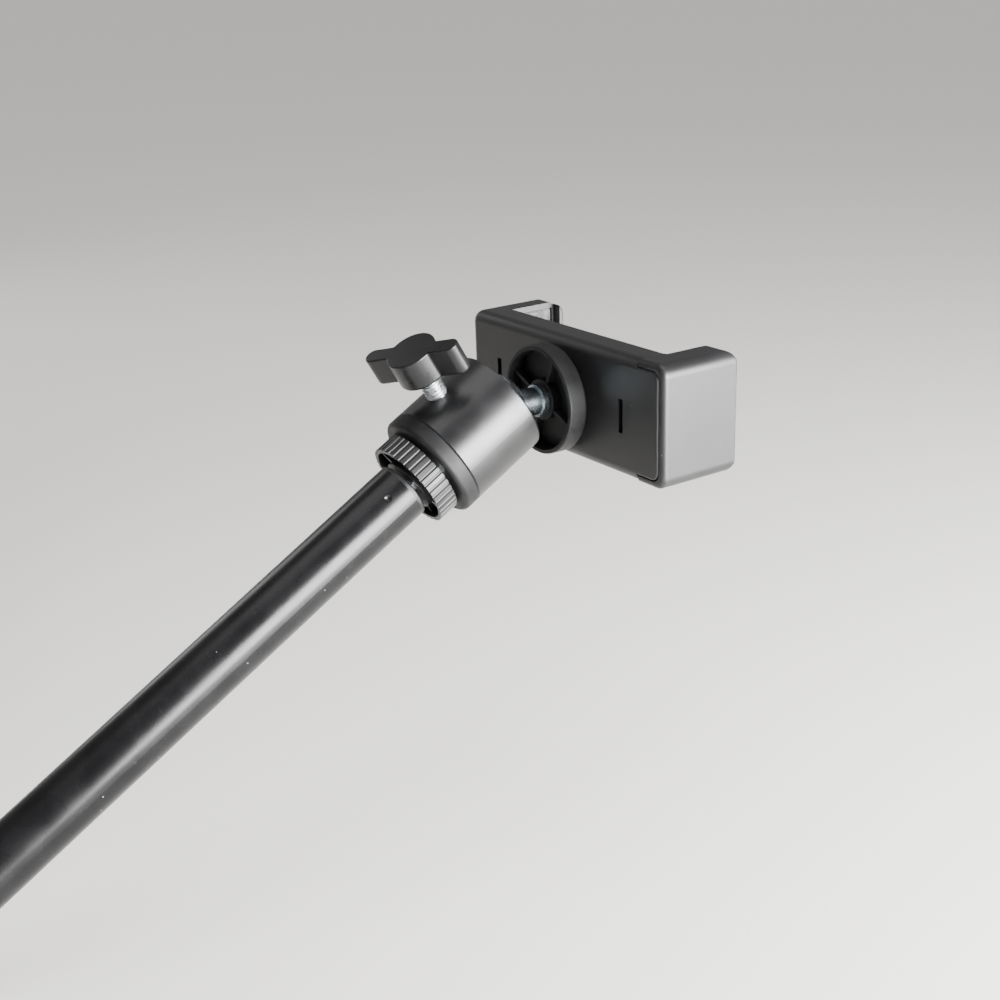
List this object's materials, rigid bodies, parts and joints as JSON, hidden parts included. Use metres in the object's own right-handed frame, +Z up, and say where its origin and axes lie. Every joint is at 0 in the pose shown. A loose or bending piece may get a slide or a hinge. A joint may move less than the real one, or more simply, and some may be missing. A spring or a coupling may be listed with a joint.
{
  "type": "phone clamp on a ball head and tube arm",
  "caption": "Spring phone clamp on a locking ball head, carried on a slanted black tube arm with a threaded socket in its lower end.",
  "frame": {"origin": "centre of the threaded socket's mouth at the arm's lower end", "axes": "+X along the clamp towards its sliding jaw, +Y forwards to the side the phone sits on, +Z up; the arm rises 30 degrees towards +Y"},
  "size_m": [0.0884, 0.2411, 0.1397],
  "materials": {
    "gloss_black_paint": "gloss black baked enamel",
    "satin_black_paint": "satin black powder coat on zinc die casting",
    "black_abs": "moulded ABS, fine spark-eroded texture",
    "black_nylon": "moulded nylon, satin",
    "gloss_plastic": "moulded ABS, polished",
    "zinc_plate": "clear zinc plated steel",
    "burnished_steel": "satin blued or blackened steel",
    "brass": "turned brass",
    "rubber": "speckled EVA and rubber",
    "acetal": "white acetal"
  },
  "bodies": {
    "arm": {"arm_tube": "gloss_black_paint", "top_plug": "black_nylon", "top_stud": "zinc_plate", "foot_plug": "black_nylon", "foot_insert": "brass"},
    "ring_lift": {"lock_washer": "zinc_plate"},
    "ring": {"lock_ring": "black_nylon", "lock_ring_nut": "burnished_steel"},
    "head": {"base_cap": "black_nylon", "base_insert": "brass", "housing": "satin_black_paint"},
    "screw_travel": {"lock_pad": "brass"},
    "knob": {"lock_screw": "zinc_plate", "lock_knob": "black_abs"},
    "ball_pan": {"ball_seat": "acetal"},
    "ball_tilt": {"ball_stud": "burnished_steel"},
    "clamp": {"platform_disc": "black_nylon", "clamp_screw": "zinc_plate", "platform_pad": "rubber", "rear_shell": "black_abs", "clamp_nut": "brass", "front_cover": "black_abs", "front_pad": "rubber", "fixed_jaw_pad": "rubber", "upper_spring": "zinc_plate", "lower_spring": "zinc_plate"},
    "jaw": {"moving_jaw": "black_abs", "moving_jaw_pad": "rubber"}
  },
  "joints": [
    {"name": "ring_lift", "type": "slide", "parent": "arm", "child": "ring_lift", "axis": [0, -0.866, -0.5], "range_m": [0, 0.0009]},
    {"name": "ring_turn", "type": "hinge", "parent": "ring_lift", "child": "ring", "pos_m": [0, 0.16454, 0.095], "axis": [0, -0.866, -0.5], "range_deg": [0, 240]},
    {"name": "head_turn", "type": "hinge", "parent": "arm", "child": "head", "pos_m": [0, 0.1862, 0.1075], "axis": [0, 0.866, 0.5], "range_deg": [-180, 180]},
    {"name": "screw_travel", "type": "slide", "parent": "head", "child": "screw_travel", "axis": [0.0175, -0.4999, 0.8659], "range_m": [0, 0.0021]},
    {"name": "knob_turn", "type": "hinge", "parent": "screw_travel", "child": "knob", "pos_m": [0, 0.17788, 0.1027], "axis": [0.0175, -0.4999, 0.8659], "range_deg": [0, 720]},
    {"name": "ball_pan", "type": "hinge", "parent": "head", "child": "ball_pan", "pos_m": [0, 0.1862, 0.1075], "axis": [0, 0.866, 0.5], "continuous": true},
    {"name": "ball_tilt", "type": "hinge", "parent": "ball_pan", "child": "ball_tilt", "pos_m": [0, 0.1862, 0.1075], "axis": [1, 0, 0], "range_deg": [-10, 70]},
    {"name": "ball_spin", "type": "hinge", "parent": "ball_tilt", "child": "clamp", "pos_m": [0, 0.1862, 0.1075], "axis": [0, 1, 0], "continuous": true},
    {"name": "jaw_slide", "type": "slide", "parent": "clamp", "child": "jaw", "axis": [1, 0, 0], "range_m": [0, 0.022], "stiffness_N_per_m": 400, "springref_m": -0.015}
  ],
  "couplings": [
    {"joint": "ring_lift", "follows": "ring_turn", "m_per_rad": 0.00020213},
    {"joint": "screw_travel", "follows": "knob_turn", "m_per_rad": 0.00015915}
  ]
}
